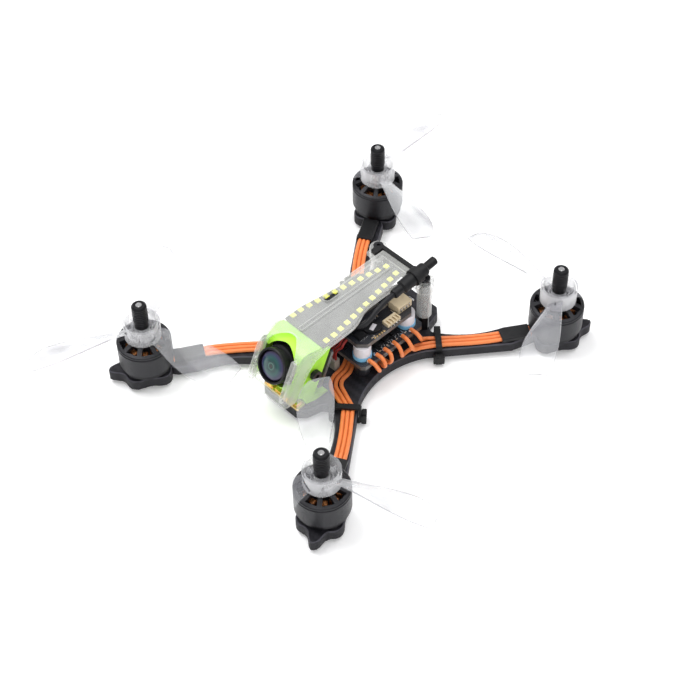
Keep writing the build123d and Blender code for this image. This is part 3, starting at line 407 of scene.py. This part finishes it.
MATS = {
    "carbon": carbon(),
    "bell": bell_metal(),
    "anodised": surface("black_anodised", (0.010, 0.010, 0.012), 0.36, 0.3, Specular_IOR_Level=0.3),
    "oxide": surface("black_oxide", (0.02, 0.02, 0.023), 0.36, 0.5, bump=0.2),
    "steel": surface("bright_steel", (0.62, 0.62, 0.63), 0.22, 1.0, vary=0.06, bump=0.08),
    "plated": surface("plated_magnet", (0.55, 0.55, 0.57), 0.25, 1.0),
    "laminate": laminate(),
    "copper": copper(),
    "prop": clear_blades(),
    "canopy": clear_plastic("milky_canopy", (0.82, 0.83, 0.81), 0.14, 0.80, 0.20, 0.10, 1.7),
    "orange": wire_skin("orange_silicone", (0.82, 0.225, 0.06)),
    "red": plug_and_leads(),
    "sleeve": surface("heat_shrink", (0.007, 0.007, 0.008), 0.42, bump=0.35, fine=1500,
                      Specular_IOR_Level=0.3),
    "nylon_black": surface("black_nylon", (0.006, 0.006, 0.007), 0.46, Specular_IOR_Level=0.25),
    "nylon_white": surface("white_nylon", (0.72, 0.69, 0.73), 0.45, vary=0.05),
    "blue": surface("blue_rubber", (0.22, 0.52, 0.78), 0.42, vary=0.12),
    "board": circuit_board(),
    "chip": surface("chip_case", (0.008, 0.008, 0.010), 0.5, bump=0.3, Specular_IOR_Level=0.3),
    "beige": surface("beige_moulding", (0.66, 0.54, 0.36), 0.45, vary=0.1),
    "lime": printed("lime_print", (0.42, 0.85, 0.05), 0.45),
    "black_print": printed("black_print", (0.007, 0.007, 0.008), 0.55),
    "moulded": surface("black_moulded", (0.005, 0.005, 0.006), 0.45, Specular_IOR_Level=0.28),
    "lens": lens_painted_reflections(),
    "led": phosphor_painted_glow(),
    "coax": surface("coax_skin", (0.008, 0.008, 0.010), 0.5, Specular_IOR_Level=0.3),
    "spacer": two_spacers(),
    "solder": surface("solder", (0.74, 0.74, 0.75), 0.2, 1.0, vary=0.1, bump=0.4, fine=2500),
    "gold": surface("gold_pad", (0.80, 0.56, 0.26), 0.3, 0.9),
    "ceramic": surface("tan_ceramic", (0.42, 0.30, 0.19), 0.4),
}
LOOK = {"frame_plate": "carbon", "motor_base": "anodised", "motor_screws": "oxide",
        "bearing_tubes": "anodised",
        "bearings": "steel", "stators": "laminate", "windings": "copper", "motor_bell": "bell",
        "magnets": "plated", "motor_shaft": "steel", "propeller": "prop", "motor_wires": "orange",
        "wire_sleeves": "sleeve", "zip_ties": "nylon_black", "esc_board": "board", "esc_parts": "chip",
        "flight_controller": "board", "fc_parts": "chip", "fc_connectors": "beige",
        "video_transmitter": "board", "stack_spacers": "spacer", "stack_grommets": "blue",
        "stack_screws": "oxide", "body_screws": "oxide", "camera_mount": "lime", "camera_case": "moulded",
        "camera_barrel": "moulded", "lens_glass": "lens", "camera_board": "board", "camera_screws": "oxide",
        "canopy": "canopy", "led_board": "board", "leds": "led", "rear_bracket": "black_print",
        "rear_standoffs": "anodised", "antenna": "moulded", "antenna_coax": "coax", "nose_light": "gold",
        "nose_leads": "red"}


def base_name(node):
    return node[:-3] if node[-3:] in ("_fl", "_fr", "_rl", "_rr") else node


for node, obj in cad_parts.items():
    look = MATS[LOOK[base_name(node)]]
    if not obj.material_slots:
        obj.data.materials.append(look)
    for slot in obj.material_slots:
        slot.link = "OBJECT"
        slot.material = look


# ---------------------------------------------------------------- mesh helpers
def piece(name, bm, look, body, smooth=True):
    """A finished mesh as an object that rides on a CAD body."""
    mesh = bpy.data.meshes.new(name)
    bm.to_mesh(mesh)
    bm.free()
    obj = bpy.data.objects.new(name, mesh)
    bpy.context.collection.objects.link(obj)
    mesh.materials.append(MATS[look])
    for face in mesh.polygons:
        face.use_smooth = smooth
    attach(obj, body)
    return obj


def bevelled_box(bm, centre, size, edge, turn=0.0):
    """One small block with rounded edges, in millimetres."""
    made = bmesh.ops.create_cube(bm, size=1)
    m = Matrix.Translation(Vector(centre) * MM) @ Matrix.Rotation(turn, 4, "Z")
    m = m @ Matrix.Diagonal((*[s * MM for s in size], 1))
    bmesh.ops.transform(bm, matrix=m, verts=made["verts"])
    edges = list({e for v in made["verts"] for e in v.link_edges})
    bmesh.ops.bevel(bm, geom=edges, offset=edge * MM, segments=2, affect="EDGES", profile=0.5)


def blob(bm, centre, size, seed):
    """An uneven solder mound."""
    made = bmesh.ops.create_icosphere(bm, subdivisions=3, radius=1)
    rnd = random.Random(seed)
    phase = [rnd.uniform(0, 6.28) for _ in range(3)]
    for v in made["verts"]:
        k = 1 + 0.10 * sin(3 * v.co.x + phase[0]) + 0.08 * sin(4 * v.co.y + phase[1])
        z = v.co.z * (1.0 if v.co.z > 0 else 0.3)
        v.co = Vector((v.co.x * k * size[0], v.co.y * k * size[1], z * size[2])) * MM + Vector(centre) * MM


# ---------------------------------------------------------------- frame plate with its chamfer
def chamfered_frame():
    """The carbon plate with the narrow machined chamfer along all its outer edges."""
    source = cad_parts["frame_plate"]
    bm = bmesh.new()
    bm.from_mesh(source.data)
    bmesh.ops.remove_doubles(bm, verts=bm.verts, dist=1e-6)
    flat = [f for f in bm.faces if abs(f.normal.z) > 0.99]
    painted_edge_shade_hub_highlight = [e for e in bm.edges if len(e.link_faces) == 2 and e.calc_face_angle(0) > radians(60)
           and max(abs(f.normal.z) for f in e.link_faces) > 0.99]
    bmesh.ops.dissolve_faces(bm, faces=[f for f in flat if f.normal.z > 0])
    bmesh.ops.dissolve_faces(bm, faces=[f for f in bm.faces if f.normal.z < -0.99])
    painted_edge_shade_hub_highlight = [e for e in bm.edges if len(e.link_faces) == 2 and e.calc_face_angle(0) > radians(60)
           and max(abs(f.normal.z) for f in e.link_faces) > 0.99]
    bmesh.ops.bevel(bm, geom=painted_edge_shade_hub_highlight, offset=0.38 * MM, segments=1, affect="EDGES", clamp_overlap=False)
    obj = piece("frame_plate_chamfered", bm, "carbon", "airframe", smooth=False)
    obj.matrix_world = source.matrix_world.copy()
    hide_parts("frame_plate")


# ---------------------------------------------------------------- electronics detail
WIRE_ENDS = [13.4, 9.4, 5.4, 1.3, -2.2, -5.8]
ESC_TOP, FC_TOP = 11.2, 18.2


def solder_joints():
    bm = bmesh.new()
    for s in (-1, 1):
        for k, y in enumerate(WIRE_ENDS):
            blob(bm, (s * 13.1, y, ESC_TOP + 0.1), (1.15, 0.85, 0.85), 10 * k + s)
    piece("solder_joints", bm, "solder", "airframe")


def chip_legs():
    """Silver legs along the power transistors of the lower board, and round the chips above."""
    bm = bmesh.new()
    for s in (-1, 1):
        for y in (8.6, 5.0, 1.4):
            for k in range(4):
                at = y - 1.05 + 0.7 * k
                bevelled_box(bm, (s * 11.45, at, ESC_TOP + 0.18), (0.75, 0.34, 0.24), 0.07)
                bevelled_box(bm, (s * 7.8, at, ESC_TOP + 0.18), (0.55, 0.30, 0.24), 0.07)
        for y in (9.8, 6.6, 3.4, 0.2):
            for e in (-1, 1):
                bevelled_box(bm, (s * 11.9, y + e * 0.85, ESC_TOP + 0.33), (1.06, 0.36, 0.62), 0.1)
        for k in range(6):
            at = -5.7 + 0.52 * k
            bevelled_box(bm, (s * 9.95, at, FC_TOP + 0.14), (0.5, 0.2, 0.16), 0.05)
            bevelled_box(bm, (s * 6.05, at, FC_TOP + 0.14), (0.5, 0.2, 0.16), 0.05)
    for k in range(12):
        at = -3.1 + 0.56 * k
        for e in (-1, 1):
            bevelled_box(bm, (e * 3.65, 4.7 + at, FC_TOP + 0.12), (0.5, 0.22, 0.16), 0.05)
            bevelled_box(bm, (at, 4.7 + e * 3.65, FC_TOP + 0.12), (0.22, 0.5, 0.16), 0.05)
    piece("chip_legs", bm, "solder", "airframe")


def small_parts(name, look, ends):
    """Tiny resistors and capacitors, each with two metal ends, in loose rows on both boards."""
    body, caps = bmesh.new(), bmesh.new()
    rnd = random.Random(21)
    spots = []
    for s in (-1, 1):
        spots += [(s * 4.6, 11.2 + 1.1 * j, FC_TOP) for j in range(3)]
        spots += [(s * 11.6, -2.4 + 1.05 * j, FC_TOP) for j in range(2)]
        spots += [(s * (5.3 + 0.1 * j), -1.4 + 1.15 * j, FC_TOP) for j in range(7)]
        spots += [(s * 12.9, y + 2.0, ESC_TOP) for y in WIRE_ENDS[:5]]
        spots += [(s * 4.4, 14.6 + 1.2 * j, FC_TOP) for j in range(2)]
    for x, y, z in spots:
        long_x = rnd.random() < 0.5
        a, b = (1.0, 0.5) if long_x else (0.5, 1.0)
        h = rnd.choice((0.32, 0.42))
        bevelled_box(body, (x, y, z + h / 2), (a * 0.62, b * 0.62 if not long_x else b, h), 0.04)
        for e in (-1, 1):
            dx, dy = (e * a * 0.38, 0) if long_x else (0, e * b * 0.38)
            size = (a * 0.26, b * 1.04, h * 1.06) if long_x else (a * 1.04, b * 0.26, h * 1.06)
            bevelled_box(caps, (x + dx, y + dy, z + h * 0.53), size, 0.04)
    piece(name, body, look, "airframe")
    piece(ends, caps, "solder", "airframe")


def edge_pads():
    """Gold pads along the edges of the upper board and an ivory insert in the oval part."""
    bm = bmesh.new()
    for s in (-1, 1):
        for k in range(5):
            y = -1.6 + 1.05 * k - (0.0 if s > 0 else 1.0)
            bevelled_box(bm, (s * 12.0, y, FC_TOP + 0.03), (0.7, 0.62, 0.06), 0.02)
    for k in range(7):
        bevelled_box(bm, (-4.5 + 1.5 * k, 16.6, FC_TOP + 0.03), (0.8, 0.8, 0.06), 0.02)
    piece("edge_pads", bm, "gold", "airframe")
    ivory = bmesh.new()
    bevelled_box(ivory, (9.0, 0.5, FC_TOP + 1.16), (1.5, 2.9, 0.2), 0.08, radians(20))
    piece("oval_insert", ivory, "nylon_white", "airframe")


def window_connector():
    """The small black connector under the canopy's window."""
    bm = bmesh.new()
    bevelled_box(bm, (-4.0, -5.4, 26.9), (2.0, 4.4, 0.9), 0.12)
    for k in range(4):
        bevelled_box(bm, (-4.0, -6.9 + 1.0 * k, 27.3), (1.2, 0.5, 0.25), 0.08)
    piece("window_connector", bm, "chip", "airframe")


def post_thread(tag):
    """The M5 thread as one spiral ridge round the free end of a propeller post."""
    sx, sy = MOTORS[tag]
    bm = bmesh.new()
    steps, pitch, low, top = 36, 0.8, 24.5, 31.0
    section = ((2.30, -0.30), (2.49, -0.05), (2.49, 0.05), (2.30, 0.30))
    last = None
    for k in range(int((top - low) / pitch * steps) + 1):
        a, z = 2 * pi * k / steps, low + pitch * k / steps
        ring = [bm.verts.new(Vector((sx * MX + r * cos(a), sy * MY + r * sin(a), z + dz)) * MM)
                for r, dz in section]
        if last:
            for i in range(len(section)):
                j = (i + 1) % len(section)
                bm.faces.new((last[i], last[j], ring[j], ring[i]))
        else:
            bm.faces.new(ring[::-1])
        last = ring
    bm.faces.new(last)
    bmesh.ops.recalc_face_normals(bm, faces=bm.faces)
    piece(f"post_thread_{tag}", bm, "bell", f"rotor_{tag}", smooth=False)


def plug_legs():
    """Silver legs at the foot of the tall beige plug, and pins in the low header."""
    bm = bmesh.new()
    for k in range(5):
        bevelled_box(bm, (5.35, 11.8 + 1.1 * k, FC_TOP + 0.15), (1.0, 0.36, 0.26), 0.06)
    for k in range(4):
        bevelled_box(bm, (10.35, 12.0 + 1.3 * k, FC_TOP + 1.3), (0.3, 0.42, 1.2), 0.06)
        bevelled_box(bm, (12.3, 5.3 + 1.3 * k, FC_TOP + 0.3), (0.7, 0.34, 0.26), 0.06)
    for y in (9.4, 18.0):
        bevelled_box(bm, (8.2, y + 0.9, FC_TOP + 0.2), (2.4, 0.5, 0.36), 0.08)
    piece("plug_legs", bm, "solder", "airframe")


# ---------------------------------------------------------------- stage
def stage():
    bpy.ops.mesh.primitive_plane_add(size=6, location=(0, 0, -1.25 * MM))
    floor = bpy.context.object
    floor.name = "floor"
    n = Nodes("floor")
    n.set(Base_Color=n.mix(n.noise(3), (0.94, 0.94, 0.945), (0.96, 0.96, 0.965)), Roughness=0.9,
          Emission_Color=(1.0, 1.0, 1.0), Emission_Strength=0.16)
    floor.data.materials.append(n.mat)
    world = bpy.data.worlds.new("studio")
    bpy.context.scene.world = world
    world.use_nodes = True
    world.node_tree.nodes["Background"].inputs[0].default_value = (1, 1, 1, 1)
    world.node_tree.nodes["Background"].inputs[1].default_value = 0.56
    for name, at, size, power in (("key", (-0.35, -0.15, 0.75), 0.45, 5.0),
                                  ("fill", (0.6, -0.6, 0.5), 0.6, 1.6),
                                  ("top", (0.1, 0.35, 0.9), 0.7, 4.0)):
        data = bpy.data.lights.new(name, "AREA")
        data.size, data.energy = size, power
        lamp = bpy.data.objects.new(name, data)
        bpy.context.collection.objects.link(lamp)
        lamp.location = at
        lamp.rotation_euler = (Vector((0, 0, 0)) - Vector(at)).to_track_quat("-Z", "Y").to_euler()
    bpy.context.scene.view_settings.view_transform = "Standard"


chamfered_frame()
solder_joints()
chip_legs()
small_parts("small_parts", "ceramic", "small_part_ends")
edge_pads()
window_connector()
plug_legs()
for tag in MOTORS:
    post_thread(tag)
stage()
